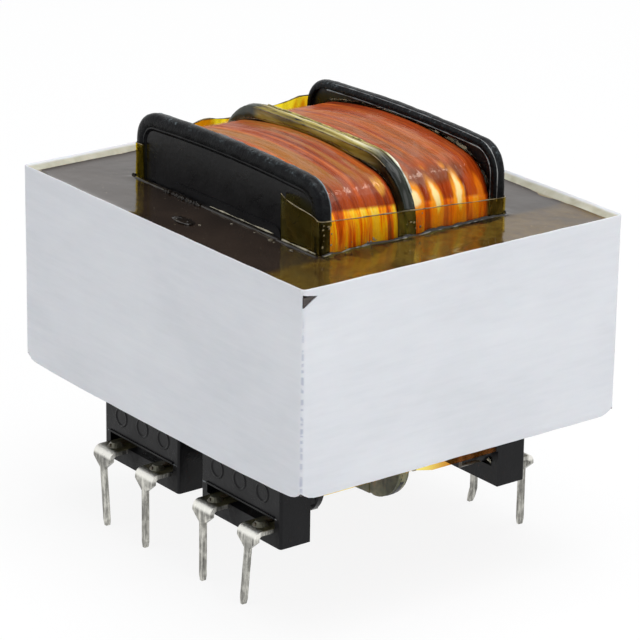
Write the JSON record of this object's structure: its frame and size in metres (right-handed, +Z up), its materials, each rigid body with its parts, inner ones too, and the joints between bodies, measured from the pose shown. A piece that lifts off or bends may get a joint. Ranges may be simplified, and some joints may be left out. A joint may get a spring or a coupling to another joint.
{
  "type": "isolation transformer",
  "caption": "Board-mounting isolation transformer with a laminated core in a white tape band, a split black bobbin, varnished copper windings and flat tinned pins.",
  "frame": {"origin": "middle of the base, at the level of the pin tips", "axes": "+Z up; X along the core's long side, which the pin rows follow; Y along the coil's axis, from the primary's end to the secondary's"},
  "size_m": [0.048, 0.04, 0.0439],
  "materials": {
    "core_steel": "silicon steel sheet under dark glossy varnish",
    "bobbin_plastic": "black moulded nylon, satin, varnished in places",
    "tape_white": "matt white tape with a fine weave",
    "copper_wire": "enamelled copper wire under varnish",
    "clear_wrap": "clear polyester film, glossy, amber with varnish",
    "amber_film": "amber polyester film, glossy",
    "tinned_pin": "hot-tinned, satin",
    "lead_wire": "enamelled copper wire",
    "solder_tin": "solder under brown flux and varnish"
  },
  "bodies": {
    "root": {"e_laminations": "core_steel", "i_laminations": "core_steel", "bobbin": "bobbin_plastic", "core_band": "tape_white", "primary_winding": "copper_wire", "secondary_winding": "copper_wire", "primary_wrap": "clear_wrap", "secondary_wrap": "clear_wrap", "slot_film_left": "amber_film", "slot_film_right": "amber_film", "pin_1": "tinned_pin", "lead_1": "lead_wire", "solder_1": "solder_tin", "pin_2": "tinned_pin", "lead_2": "lead_wire", "solder_2": "solder_tin", "pin_3": "tinned_pin", "lead_3": "lead_wire", "solder_3": "solder_tin", "pin_4": "tinned_pin", "lead_4": "lead_wire", "solder_4": "solder_tin", "pin_5": "tinned_pin", "lead_5": "lead_wire", "solder_5": "solder_tin", "pin_6": "tinned_pin", "lead_6": "lead_wire", "solder_6": "solder_tin", "pin_7": "tinned_pin", "lead_7": "lead_wire", "solder_7": "solder_tin", "pin_8": "tinned_pin", "lead_8": "lead_wire", "solder_8": "solder_tin"}
  },
  "joints": []
}
